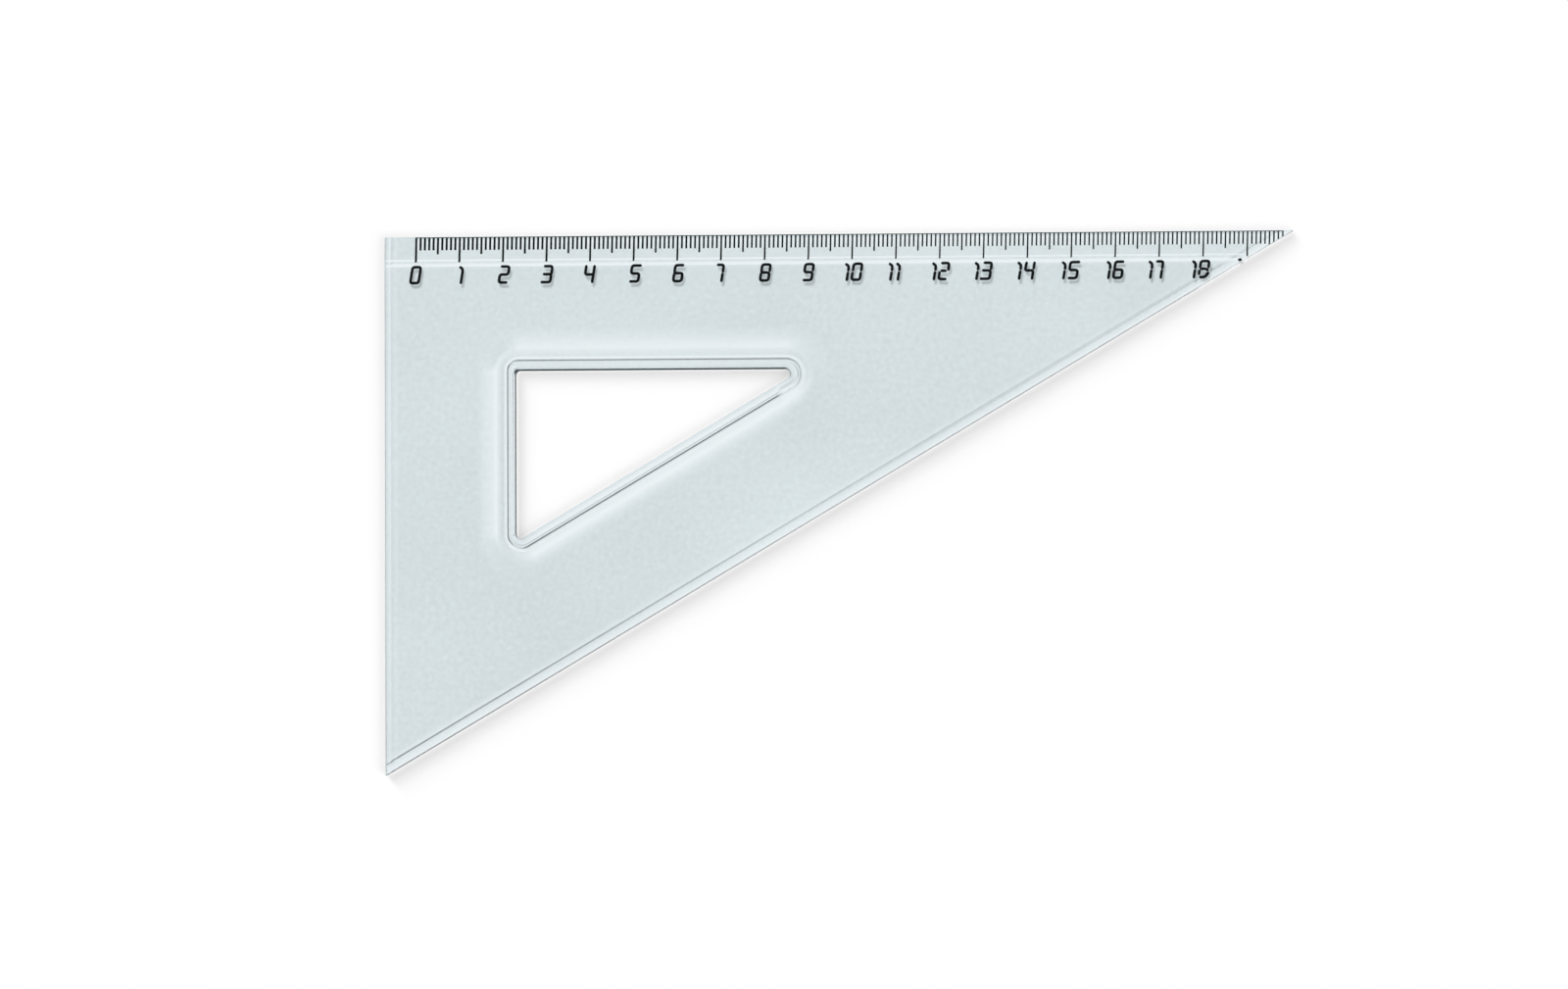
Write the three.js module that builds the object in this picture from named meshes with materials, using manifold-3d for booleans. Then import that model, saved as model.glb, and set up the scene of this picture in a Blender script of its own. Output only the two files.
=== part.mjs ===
// A clear 30-60-90 drafting triangle with a triangular cut-out and a printed centimetre scale.
// The long leg runs along X and carries the scale. The short leg runs along Y. The flat underside
// lies at Z = 0 and the print is on the upper face. All lengths are in millimetres.
import * as THREE from 'three';
import { mergeVertices } from 'three/addons/utils/BufferGeometryUtils.js';
import Module from 'manifold-3d';

// The moulded plate. It is as long as its scale: see longLeg below.
const smallAngle = Math.PI / 6;
const plateThickness = 2;
const tipRadius = 0.15;
const cutOverrun = 1;

// The bevelled scale edge: a facet that thins towards the long leg, then a curved shoulder
const scaleEdgeThickness = 1;
const facetWidth = 5.4;
const facetInnerThickness = 1.5;
const shoulderWidth = 1.8;

// The thin ledges along the short leg and the hypotenuse
const ledgeWidth = 1.9;
const ledgeThickness = 1.4;
const riserRun = 0.2;

// The cut-out, the sloping ledge round it and the shallow dish round that
const cutOutInset = 30;
const cutOutCornerRadius = 1.1;
const longRimWidth = 2.4;
const shortRimWidth = 1.65;
const slantRimWidth = 2.45;
const squareRimRadius = 2.3;
const wideRimRadius = 3.15;
const narrowRimRadius = 3.4;
const rimThickness = 1.5;
const lipThickness = 1.25;
const dishGap = 1.2;
const dishWidth = 4.6;
const dishDepth = 0.2;

// The printed scale
const inkThickness = 0.05;
const inkClearance = 0.01;
const centimetre = 10;
const zeroMarkOffset = 7.3;
const tipReach = 10.546;
const markWidth = 0.35;
const printMargin = 0.08;
const baselineWidth = 0.16;
const millimetreMark = 2.9;
const halfCentimetreMark = 3.8;
const centimetreMark = 5.6;

// The printed numerals, sized along the middle of their strokes
const numeralGap = 1.04;
const numeralHeight = 3.55;
const numeralWidth = 1.9;
const numeralSlantShare = 0.166;
const numeralStroke = 0.64;
const strokeBend = 0.55;
const unitsAdvance = 1.7;
const cutNumeralInset = 0.13;

// Counts
const marksPerCentimetre = 10;
const tipSteps = 3;
const cutOutSteps = 6;
const shoulderSteps = 6;
const dishSteps = 8;
const bendSteps = 3;
const capSteps = 4;

// Strokes of each numeral: points across its width and up its height, by ink patch.
// A stroke that closes on itself goes round against the clock.
// Numerals on the right half of the scale are printed in the open, stencilled style.
const glyphShares = {
  zero: { whole: [[[0, 0.5], [0, 0], [1, 0], [1, 1], [0, 1], [0, 0.5]]] },
  one: { whole: [[[0, 0.97], [0.34, 0.84], [0.34, 0]]] },
  two: { whole: [[[0.1, 1], [1, 1], [1, 0.5], [0, 0.5], [0, 0], [0.9, 0]]] },
  three: {
    whole: [
      [[0.1, 1], [1, 1], [1, 0.5], [0.8, 0.5], [0.12, 0.5]],
      [[0.5, 0.5], [1, 0.5], [1, 0], [0, 0]],
    ],
  },
  four: {
    whole: [
      [[0, 0.97], [0, 0.46], [0.9, 0.46]],
      [[1, 0.97], [1, 0]],
    ],
  },
  five: { whole: [[[1, 1], [0, 1], [0, 0.5], [1, 0.5], [1, 0], [0.1, 0]]] },
  six: {
    whole: [
      [[0.9, 1], [0, 1], [0, 0.5], [0.5, 0.5]],
      [[0.2, 0.5], [1, 0.5], [1, 0], [0, 0], [0, 0.42]],
    ],
  },
  seven: {
    upper: [[[0, 1], [0.7, 1], [0.7, 0.59]]],
    lower: [[[0.7, 0.42], [0.7, 0]]],
  },
  eight: {
    whole: [
      [[1, 0.62], [1, 1], [0, 1], [0, 0.5], [0.6, 0.5]],
      [[0.3, 0.5], [1, 0.5], [1, 0], [0, 0], [0, 0.42]],
    ],
  },
  nine: {
    whole: [
      [[1, 0.62], [1, 1], [0, 1], [0, 0.5], [0.6, 0.5]],
      [[0.4, 0.5], [1, 0.5], [1, 0], [0.1, 0]],
    ],
  },
  openZero: {
    upper: [[[0, 0.6], [0, 1], [1, 1], [1, 0.6]]],
    lower: [[[0, 0.42], [0, 0], [1, 0], [1, 0.42]]],
  },
  openOne: {
    upper: [[[0, 0.97], [0.34, 0.84], [0.34, 0.6]]],
    lower: [[[0.34, 0.42], [0.34, 0]]],
  },
  openTwo: {
    upper: [[[0.15, 1], [1, 1], [1, 0.6]]],
    middle: [[[0.22, 0.52], [0.68, 0.52]]],
    lower: [[[0, 0.41], [0, 0], [0.8, 0]]],
  },
  openThree: {
    upper: [[[0.15, 1], [1, 1], [1, 0.63]]],
    lower: [[[0.1, 0.52], [1, 0.52], [1, 0], [0, 0]]],
  },
  openFour: {
    left: [[[0.05, 0.97], [0, 0.5], [1, 0.5], [1, 0]]],
    right: [[[1, 0.97], [1, 0.63]]],
  },
  openEight: {
    upper: [[[0, 0.62], [0, 1], [1, 1], [1, 0.62]]],
    middle: [[[0.18, 0.52], [0.72, 0.52], [0.95, 0.44]]],
    left: [[[0, 0.4], [0, 0.2]]],
    lower: [[[0.2, 0], [0.7, 0], [1, 0.25]]],
  },
};

// All that the tip leaves on the plate of the numeral after the last whole one
const cutHookShares = [[0, 0.97], [0.34, 0.84]];

// The glyphs of each numeral from 0 up, and how far before its own mark it starts, as a share of the
// numerals' width
const numeralStartShares = [
  [['zero'], 0.63],
  [['one'], 0.1],
  [['two'], 0.45],
  [['three'], 0.5],
  [['four'], 0.68],
  [['five'], 0.41],
  [['six'], 0.45],
  [['seven'], 0.58],
  [['eight'], 0.51],
  [['nine'], 0.58],
  [['openOne', 'openZero'], 0.92],
  [['openOne', 'openOne'], 0.94],
  [['openOne', 'openTwo'], 0.98],
  [['openOne', 'openThree'], 1.13],
  [['openOne', 'openFour'], 1.28],
  [['openOne', 'five'], 1.22],
  [['openOne', 'six'], 1.1],
  [['openOne', 'seven'], 1.35],
  [['openOne', 'openEight'], 1.4],
];
const glyphPlaceNames = ['tens', 'units'];

// The long leg runs from before the zero mark to a sharp tip beyond the cut numeral's mark
const cutNumeral = numeralStartShares.length;
const longLeg = zeroMarkOffset + cutNumeral * centimetre + tipReach;
const shortLeg = longLeg * Math.tan(smallAngle);
const hypotenuse = longLeg / Math.cos(smallAngle);

// The last mark is the last one of which at least half fits on the narrowing tip
const millimetre = centimetre / marksPerCentimetre;
const lastMarkReach = longLeg - millimetreMark / 2 / Math.tan(smallAngle);
const lastMark = Math.floor((lastMarkReach - zeroMarkOffset) / millimetre);

// The rim's widths along the sides and its radii at the corners, in the order of insetCorners
const rimWidths = [longRimWidth, shortRimWidth, slantRimWidth];
const rimRadii = [squareRimRadius, wideRimRadius, narrowRimRadius];

const rightAngle = Math.PI / 2;
const tau = 2 * Math.PI;

// The outward direction of each side, as an angle, going round against the clock
const longSideTurn = rightAngle;
const shortSideTurn = Math.PI;
const hypotenuseTurn = tau - (rightAngle - smallAngle);

const wasm = await Module();
wasm.setup();

function solidFrom(geometry) {
  geometry.deleteAttribute('normal');
  geometry.deleteAttribute('uv');
  const merged = mergeVertices(geometry);
  const vertProperties = merged.attributes.position.array;
  const triVerts = merged.index.array;
  return new wasm.Manifold(new wasm.Mesh({ numProp: 3, vertProperties, triVerts }));
}

function meshFrom(name, solid, material) {
  const { vertProperties, triVerts } = solid.getMesh();
  const geometry = new THREE.BufferGeometry();
  geometry.setAttribute('position', new THREE.BufferAttribute(vertProperties, 3));
  geometry.setIndex(new THREE.BufferAttribute(triVerts, 1));
  const mesh = new THREE.Mesh(geometry.toNonIndexed(), material);
  mesh.geometry.computeVertexNormals();
  mesh.name = name;
  return mesh;
}

// The corners of the triangle drawn in from its sides by a distance for each.
// The right angle is at the origin, the long leg runs along +X and the short leg along -Y.
function insetCorners([fromLong, fromShort, fromSlant]) {
  const tipX = longLeg - (fromSlant + fromLong * Math.cos(smallAngle)) / Math.sin(smallAngle);
  const tipY = (fromSlant + fromShort * Math.sin(smallAngle)) / Math.cos(smallAngle) - shortLeg;
  return [
    { x: fromShort, y: -fromLong, from: longSideTurn, to: shortSideTurn },
    { x: fromShort, y: tipY, from: shortSideTurn, to: hypotenuseTurn },
    { x: tipX, y: -fromLong, from: hypotenuseTurn, to: longSideTurn + tau },
  ];
}

// The same value for all three sides or corners
function forAll(value) {
  return [value, value, value];
}

// The triangle drawn in from its sides, with its corners rounded
function roundedTriangle(insets, radii, steps) {
  const points = [];
  for (const [index, radius] of radii.entries()) {
    const corner = insetCorners(insets.map((inset) => inset + radius))[index];
    for (let step = 0; step <= steps; step += 1) {
      const turn = corner.from + (corner.to - corner.from) * step / steps;
      const x = corner.x + radius * Math.cos(turn);
      const y = corner.y + radius * Math.sin(turn);
      points.push(new THREE.Vector2(x, y));
    }
  }
  return points;
}

function prism(shape, bottom, top) {
  const geometry = new THREE.ExtrudeGeometry(shape, { depth: top - bottom, bevelEnabled: false });
  geometry.translate(0, 0, bottom);
  return solidFrom(geometry);
}

// A straight cut along one side. Its profile gives distances in from the side and heights.
function sideCut(middle, inward, length, profile) {
  const depth = length + 2 * cutOverrun;
  const corners = profile.map(([distance, height]) => new THREE.Vector2(distance, height));
  const shape = new THREE.Shape(corners);
  const geometry = new THREE.ExtrudeGeometry(shape, { depth, bevelEnabled: false });
  geometry.translate(0, 0, -depth / 2);
  const up = new THREE.Vector3(0, 0, 1);
  const along = new THREE.Vector3().crossVectors(inward, up);
  geometry.applyMatrix4(new THREE.Matrix4().makeBasis(inward, up, along).setPosition(middle));
  return solidFrom(geometry);
}

// A cut round the cut-out. Its profile gives shares of the rim's width, distances on top and heights.
function rimCut(profile) {
  const loops = profile.map(([rimShare, distance, height]) => {
    const insets = rimWidths.map((width) => cutOutInset - rimShare * width - distance);
    const radii = rimRadii.map((rimRadius) => {
      return cutOutCornerRadius + rimShare * (rimRadius - cutOutCornerRadius) + distance;
    });
    const loop = roundedTriangle(insets, radii, cutOutSteps);
    return loop.map((point) => [point.x, point.y, height]);
  });
  const count = loops[0].length;
  const indices = [];
  for (let row = 0; row < loops.length; row += 1) {
    const nextRow = (row + 1) % loops.length;
    for (let column = 0; column < count; column += 1) {
      const nextColumn = (column + 1) % count;
      const here = row * count + column;
      const beside = row * count + nextColumn;
      const across = nextRow * count + column;
      const opposite = nextRow * count + nextColumn;
      indices.push(here, beside, opposite, here, opposite, across);
    }
  }
  const geometry = new THREE.BufferGeometry();
  geometry.setAttribute('position', new THREE.Float32BufferAttribute(loops.flat(2), 3));
  geometry.setIndex(indices);
  return solidFrom(geometry);
}

function scaleEdgeProfile() {
  const slope = (facetInnerThickness - scaleEdgeThickness) / facetWidth;
  const profile = [
    [-cutOverrun, plateThickness + cutOverrun],
    [-cutOverrun, scaleEdgeThickness - slope * cutOverrun],
  ];
  for (let step = 0; step <= shoulderSteps; step += 1) {
    const share = step / shoulderSteps;
    const rise = (plateThickness - facetInnerThickness) * (1 - (1 - share) ** 3);
    profile.push([facetWidth + shoulderWidth * share, facetInnerThickness + rise]);
  }
  profile.push([facetWidth + shoulderWidth, plateThickness + cutOverrun]);
  return profile;
}

function ledgeProfile() {
  return [
    [-cutOverrun, plateThickness + cutOverrun],
    [-cutOverrun, ledgeThickness],
    [ledgeWidth - riserRun, ledgeThickness],
    [ledgeWidth, plateThickness],
    [ledgeWidth, plateThickness + cutOverrun],
  ];
}

function rimProfile() {
  const inside = -cutOutCornerRadius / 2;
  return [
    [0, inside, plateThickness + cutOverrun],
    [0, inside, lipThickness],
    [0, 0, lipThickness],
    [1, -riserRun, rimThickness],
    [1, 0, plateThickness],
    [1, 0, plateThickness + cutOverrun],
  ];
}

function dishProfile() {
  const profile = [];
  for (let step = 0; step <= dishSteps; step += 1) {
    const share = step / dishSteps;
    const drop = dishDepth * (1 - Math.cos(tau * share)) / 2;
    profile.push([1, dishGap + dishWidth * share, plateThickness - drop]);
  }
  profile.push([1, dishGap + dishWidth, plateThickness + cutOverrun]);
  profile.push([1, dishGap, plateThickness + cutOverrun]);
  return profile;
}

function makePlate() {
  const outline = new THREE.Shape(roundedTriangle(forAll(0), forAll(tipRadius), tipSteps));
  const openingRadii = forAll(cutOutCornerRadius);
  const opening = new THREE.Shape(roundedTriangle(forAll(cutOutInset), openingRadii, cutOutSteps));
  const scaleSide = new THREE.Vector3(longLeg / 2, 0, 0);
  const shortSide = new THREE.Vector3(0, -shortLeg / 2, 0);
  const slantSide = new THREE.Vector3(longLeg / 2, -shortLeg / 2, 0);
  const downwards = new THREE.Vector3(0, -1, 0);
  const rightwards = new THREE.Vector3(1, 0, 0);
  const slantInward = new THREE.Vector3(-Math.sin(smallAngle), Math.cos(smallAngle), 0);
  return prism(outline, 0, plateThickness)
    .subtract(prism(opening, -cutOverrun, plateThickness + cutOverrun))
    .subtract(sideCut(scaleSide, downwards, longLeg, scaleEdgeProfile()))
    .subtract(sideCut(shortSide, rightwards, shortLeg, ledgeProfile()))
    .subtract(sideCut(slantSide, slantInward, hypotenuse, ledgeProfile()))
    .subtract(rimCut(rimProfile()))
    .subtract(rimCut(dishProfile()));
}

// The film of ink that would cover the upper face up to a margin; each printed mark is cut from it
function makeInkFilm(plate) {
  const underside = plate.translate([0, 0, inkClearance]);
  const margins = forAll(printMargin);
  const printable = new THREE.Shape(roundedTriangle(margins, forAll(tipRadius), tipSteps));
  return plate.translate([0, 0, inkClearance + inkThickness])
    .subtract(underside)
    .intersect(prism(printable, 0, plateThickness + cutOverrun));
}

function printOn(film, shape) {
  return film.intersect(prism(shape, 0, plateThickness + cutOverrun));
}

function markLength(mark) {
  if (mark % marksPerCentimetre === 0) {
    return centimetreMark;
  }
  return mark % (marksPerCentimetre / 2) === 0 ? halfCentimetreMark : millimetreMark;
}

// The scale as one comb: a thin line along the edge with a tooth for every millimetre
function scaleShape() {
  const start = zeroMarkOffset - markWidth / 2;
  const end = zeroMarkOffset + lastMark * millimetre + markWidth / 2;
  const baseline = -(printMargin + baselineWidth);
  const points = [new THREE.Vector2(end, -printMargin), new THREE.Vector2(start, -printMargin)];
  for (let mark = 0; mark <= lastMark; mark += 1) {
    const left = start + mark * millimetre;
    const right = left + markWidth;
    const foot = -(printMargin + markLength(mark));
    if (mark > 0) {
      points.push(new THREE.Vector2(left, baseline));
    }
    points.push(new THREE.Vector2(left, foot));
    points.push(new THREE.Vector2(right, foot));
    if (mark < lastMark) {
      points.push(new THREE.Vector2(right, baseline));
    }
  }
  return new THREE.Shape(points);
}

// The middle line of a stroke, with its corners rounded off
function strokePath(points) {
  const path = new THREE.Path();
  path.moveTo(points[0].x, points[0].y);
  for (let index = 1; index < points.length - 1; index += 1) {
    const corner = points[index];
    const before = points[index - 1];
    const after = points[index + 1];
    const trimBefore = Math.min(strokeBend, corner.distanceTo(before) / 2);
    const trimAfter = Math.min(strokeBend, corner.distanceTo(after) / 2);
    const bendStart = corner.clone().lerp(before, trimBefore / corner.distanceTo(before));
    const bendEnd = corner.clone().lerp(after, trimAfter / corner.distanceTo(after));
    path.lineTo(bendStart.x, bendStart.y);
    path.quadraticCurveTo(corner.x, corner.y, bendEnd.x, bendEnd.y);
  }
  const last = points[points.length - 1];
  path.lineTo(last.x, last.y);
  return path.getPoints(bendSteps);
}

// The points at one distance to the left of a line
function offsetLine(line, distance, closed) {
  const count = line.length;
  return line.map((point, index) => {
    const before = closed ? line[(index - 1 + count) % count] : line[Math.max(index - 1, 0)];
    const after = closed ? line[(index + 1) % count] : line[Math.min(index + 1, count - 1)];
    const arriving = (index > 0 || closed) ? point.clone().sub(before) : after.clone().sub(point);
    const leaving = (index < count - 1 || closed) ? after.clone().sub(point) : arriving.clone();
    const normal = arriving.normalize().add(leaving.clone().normalize()).normalize();
    const reach = distance / normal.dot(leaving.normalize());
    return new THREE.Vector2(point.x - normal.y * reach, point.y + normal.x * reach);
  });
}

// A half circle of points that closes a stroke round its end
function capPoints(centre, fromPoint) {
  const points = [];
  for (let step = 1; step < capSteps; step += 1) {
    points.push(fromPoint.clone().rotateAround(centre, -Math.PI * step / capSteps));
  }
  return points;
}

function strokeShape(points) {
  const half = numeralStroke / 2;
  const line = strokePath(points);
  const closed = points[0].distanceTo(points[points.length - 1]) === 0;
  if (closed) {
    const loop = line.slice(0, -1);
    const shape = new THREE.Shape(offsetLine(loop, -half, true));
    shape.holes.push(new THREE.Path(offsetLine(loop, half, true)));
    return shape;
  }
  const left = offsetLine(line, half, false);
  const right = offsetLine(line, -half, false).reverse();
  const endCap = capPoints(line[line.length - 1], left[left.length - 1]);
  const startCap = capPoints(line[0], right[right.length - 1]);
  return new THREE.Shape([...left, ...endCap, ...right, ...startCap]);
}

// A point of a glyph on the plate, leaning with the slant of the numerals
function glyphPoint([across, up], start) {
  const foot = -(printMargin + centimetreMark + numeralGap + numeralHeight);
  const height = up * numeralHeight;
  return new THREE.Vector2(start + across * numeralWidth + height * numeralSlantShare, foot + height);
}

function patchSolid(film, strokes, start) {
  const solids = strokes.map((stroke) => {
    const points = stroke.map((point) => glyphPoint(point, start));
    return printOn(film, strokeShape(points));
  });
  return solids.reduce((joined, solid) => joined.add(solid));
}

// The cut numeral's hook, which starts at one distance in from the hypotenuse
function cutHookSolid(film) {
  const first = glyphPoint(cutHookShares[0], 0);
  const reachAtEdge = longLeg + first.y / Math.tan(smallAngle);
  const start = reachAtEdge - cutNumeralInset / Math.sin(smallAngle) - first.x;
  return patchSolid(film, [cutHookShares], start);
}

function patchName(value, glyphs, place, patch) {
  const parts = ['numeral', value];
  if (glyphs.length > 1) {
    parts.push(glyphPlaceNames[place]);
  }
  if (patch !== 'whole') {
    parts.push(patch);
  }
  return parts.join('_');
}

function makeNumerals(film, material) {
  const meshes = [];
  for (const [value, [glyphs, startShare]] of numeralStartShares.entries()) {
    const ownMark = zeroMarkOffset + value * centimetre;
    glyphs.forEach((glyph, place) => {
      const start = ownMark - startShare * numeralWidth + place * unitsAdvance;
      for (const [patch, strokes] of Object.entries(glyphShares[glyph])) {
        const solid = patchSolid(film, strokes, start);
        meshes.push(meshFrom(patchName(value, glyphs, place, patch), solid, material));
      }
    });
  }
  meshes.push(meshFrom(`numeral_${cutNumeral}_hook`, cutHookSolid(film), material));
  return meshes;
}

const clearPlastic = new THREE.MeshStandardMaterial({
  color: 0xd6e0e2,
  roughness: 0.12,
  metalness: 0,
  transparent: true,
  opacity: 0.45,
});
const blackInk = new THREE.MeshStandardMaterial({ color: 0x0b0d0f, roughness: 0.5, metalness: 0 });

// The rounded tips end a little short of the sharp corners
const longReach = longLeg + tipRadius - tipRadius / Math.tan(smallAngle / 2);
const shortReach = shortLeg + tipRadius - tipRadius / Math.tan((rightAngle - smallAngle) / 2);

const plate = makePlate();
const inkFilm = makeInkFilm(plate);
const draftingTriangle = new THREE.Group();
draftingTriangle.add(meshFrom('clear_plate', plate, clearPlastic));
draftingTriangle.add(meshFrom('scale_marks', printOn(inkFilm, scaleShape()), blackInk));
draftingTriangle.add(...makeNumerals(inkFilm, blackInk));
draftingTriangle.position.set(-longReach / 2, shortReach / 2, 0);

export default draftingTriangle;
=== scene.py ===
import math
import bmesh
import bpy
from mathutils import Matrix, Vector
from mathutils.geometry import delaunay_2d_cdt


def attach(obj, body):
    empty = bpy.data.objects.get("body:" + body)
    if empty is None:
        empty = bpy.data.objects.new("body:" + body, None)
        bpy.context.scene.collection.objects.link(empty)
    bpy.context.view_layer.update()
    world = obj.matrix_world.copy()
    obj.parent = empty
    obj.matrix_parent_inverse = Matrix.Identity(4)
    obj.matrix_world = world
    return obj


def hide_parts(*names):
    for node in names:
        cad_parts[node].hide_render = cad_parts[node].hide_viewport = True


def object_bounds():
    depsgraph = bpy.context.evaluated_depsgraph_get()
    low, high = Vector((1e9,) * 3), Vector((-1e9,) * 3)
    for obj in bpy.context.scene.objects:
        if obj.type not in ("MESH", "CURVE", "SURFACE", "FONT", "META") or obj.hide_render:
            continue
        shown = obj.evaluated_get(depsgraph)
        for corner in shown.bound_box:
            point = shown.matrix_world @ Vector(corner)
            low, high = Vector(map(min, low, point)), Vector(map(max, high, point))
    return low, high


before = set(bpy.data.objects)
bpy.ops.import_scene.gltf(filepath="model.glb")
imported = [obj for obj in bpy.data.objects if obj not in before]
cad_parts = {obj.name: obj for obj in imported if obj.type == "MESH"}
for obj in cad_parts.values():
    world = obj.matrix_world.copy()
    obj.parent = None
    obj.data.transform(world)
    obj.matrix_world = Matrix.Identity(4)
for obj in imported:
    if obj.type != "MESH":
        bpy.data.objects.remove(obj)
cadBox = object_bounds()
mm = 0.001
hair = 0.001 * mm  # what lies nearer than this touches

# Sizes of the moulding, as the frame has them. Rim widths are for the long, short and slanting
# sides, rim radii for the right angle, the wide corner and the narrow one. Steps are along each curve.
plateSize = {
    "smallAngle": math.pi / 6,  # in radians
    "thickness": 2 * mm,
    "facetEdge": 1 * mm,
    "facetInner": 1.5 * mm,
    "facetWidth": 5.4 * mm,
    "shoulderWidth": 1.8 * mm,
    "ledgeWidth": 1.9 * mm,
    "ledgeThickness": 1.4 * mm,
    "riserRun": 0.2 * mm,
    "tipRadius": 0.15 * mm,
    "cutOutInset": 30 * mm,
    "cutOutRadius": 1.1 * mm,
    "rimWidths": (2.4 * mm, 1.65 * mm, 2.45 * mm),
    "rimRadii": (2.3 * mm, 3.15 * mm, 3.4 * mm),
    "rimThickness": 1.5 * mm,
    "lipThickness": 1.25 * mm,
    "dishGap": 1.2 * mm,
    "dishWidth": 4.6 * mm,
    "dishDepth": 0.2 * mm,
    "edgeRound": 0.1 * mm,
    "riserRound": 0.09 * mm,
    "roundSteps": 4,
    "tipSteps": 6,
    "cutOutSteps": 12,
    "riserSteps": 4,
    "shoulderSteps": 12,
    "dishSteps": 20,
    "sharpAngle": 30,  # in degrees, where faces meet in a hard edge
    "weldGap": 1e-4,  # in millimetres, for points that are one
}

# The printed scale, as the frame has it
printSize = {
    "zeroMark": 7.3 * mm,
    "millimetre": 1 * mm,
    "lastMark": 198,
    "markWidth": 0.35 * mm,
    "boldWidth": 0.5 * mm,  # of the zero mark: the print thins to the plain width by the last bold one
    "boldCount": 120,
    "baselineWidth": 0.16 * mm,
    "margin": 0.08 * mm,
    "shortLength": 2.9 * mm,
    "middleLength": 3.8 * mm,
    "longLength": 5.6 * mm,
    "inkThickness": 0.05 * mm,
    "inkClearance": 0.01 * mm,
}


def makeMaterial(name):
    material = bpy.data.materials.new(name)
    material.use_nodes = True
    material.node_tree.nodes.clear()
    return material


def addNode(tree, kind, **settings):
    node = tree.nodes.new(kind)
    for key, value in settings.items():
        setattr(node, key, value)
    return node


def setInputs(node, **values):
    for key, value in values.items():
        node.inputs[key].default_value = value


def link(tree, source, target):
    tree.links.new(source, target)


def mathNode(tree, operation, a, b=0.0):
    node = addNode(tree, "ShaderNodeMath", operation=operation)
    for socket, value in zip(node.inputs, (a, b)):
        if isinstance(value, (int, float)):
            socket.default_value = value
        else:
            link(tree, value, socket)
    return node.outputs["Value"]


def mapRange(tree, value, first, last):  # first and last are pairs of a value and its result
    node = addNode(tree, "ShaderNodeMapRange")
    setInputs(node, **{"From Min": first[0], "To Min": first[1], "From Max": last[0], "To Max": last[1]})
    link(tree, value, node.inputs["Value"])
    return node.outputs["Result"]


def finishMaterial(material, last):
    output = addNode(material.node_tree, "ShaderNodeOutputMaterial")
    link(material.node_tree, last, output.inputs["Surface"])
    return material


# Shader groups

def makeMottleGroup():
    look = {"cloudDetail": 2, "grainDetail": 3}
    group = bpy.data.node_groups.new("mouldedMottle", "ShaderNodeTree")
    group.interface.new_socket("Vector", in_out="INPUT", socket_type="NodeSocketVector")
    for name, value in (("Cloud Scale", 20.0), ("Grain Scale", 900.0), ("Grain Share", 0.6)):
        socket = group.interface.new_socket(name, in_out="INPUT", socket_type="NodeSocketFloat")
        socket.default_value = value
    group.interface.new_socket("Mottle", in_out="OUTPUT", socket_type="NodeSocketFloat")
    group.interface.new_socket("Height", in_out="OUTPUT", socket_type="NodeSocketFloat")
    ends = addNode(group, "NodeGroupInput")
    out = addNode(group, "NodeGroupOutput")
    cloud = addNode(group, "ShaderNodeTexNoise", noise_dimensions="3D")
    cloud.inputs["Detail"].default_value = look["cloudDetail"]
    grain = addNode(group, "ShaderNodeTexNoise", noise_dimensions="3D")
    grain.inputs["Detail"].default_value = look["grainDetail"]
    blend = addNode(group, "ShaderNodeMix", data_type="FLOAT")
    link(group, ends.outputs["Vector"], cloud.inputs["Vector"])
    link(group, ends.outputs["Vector"], grain.inputs["Vector"])
    link(group, ends.outputs["Cloud Scale"], cloud.inputs["Scale"])
    link(group, ends.outputs["Grain Scale"], grain.inputs["Scale"])
    link(group, ends.outputs["Grain Share"], blend.inputs["Factor"])
    link(group, cloud.outputs["Fac"], blend.inputs["A"])
    link(group, grain.outputs["Fac"], blend.inputs["B"])
    link(group, blend.outputs["Result"], out.inputs["Mottle"])
    link(group, cloud.outputs["Fac"], out.inputs["Height"])
    return group


def slantOfLight(tree):  # nought for light from straight above, and more as it slants
    slant = addNode(tree, "ShaderNodeLayerWeight")
    slant.inputs["Blend"].default_value = 0.5
    upward = addNode(tree, "ShaderNodeCombineXYZ")
    upward.inputs["Z"].default_value = 1
    link(tree, upward.outputs["Vector"], slant.inputs["Normal"])
    return slant.outputs["Facing"]


def passLight(tree, surface, share):  # light on its way to the floor passes straight on, less its loss
    through = addNode(tree, "ShaderNodeBsdfTransparent")
    link(tree, share, through.inputs["Color"])
    path = addNode(tree, "ShaderNodeLightPath")
    straight = mathNode(tree, "MAXIMUM", path.outputs["Is Shadow Ray"], path.outputs["Is Diffuse Ray"])
    choice = addNode(tree, "ShaderNodeMixShader")
    link(tree, straight, choice.inputs["Fac"])
    link(tree, surface.outputs["BSDF"], choice.inputs[1])
    link(tree, through.outputs["BSDF"], choice.inputs[2])
    return choice.outputs["Shader"]


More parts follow.
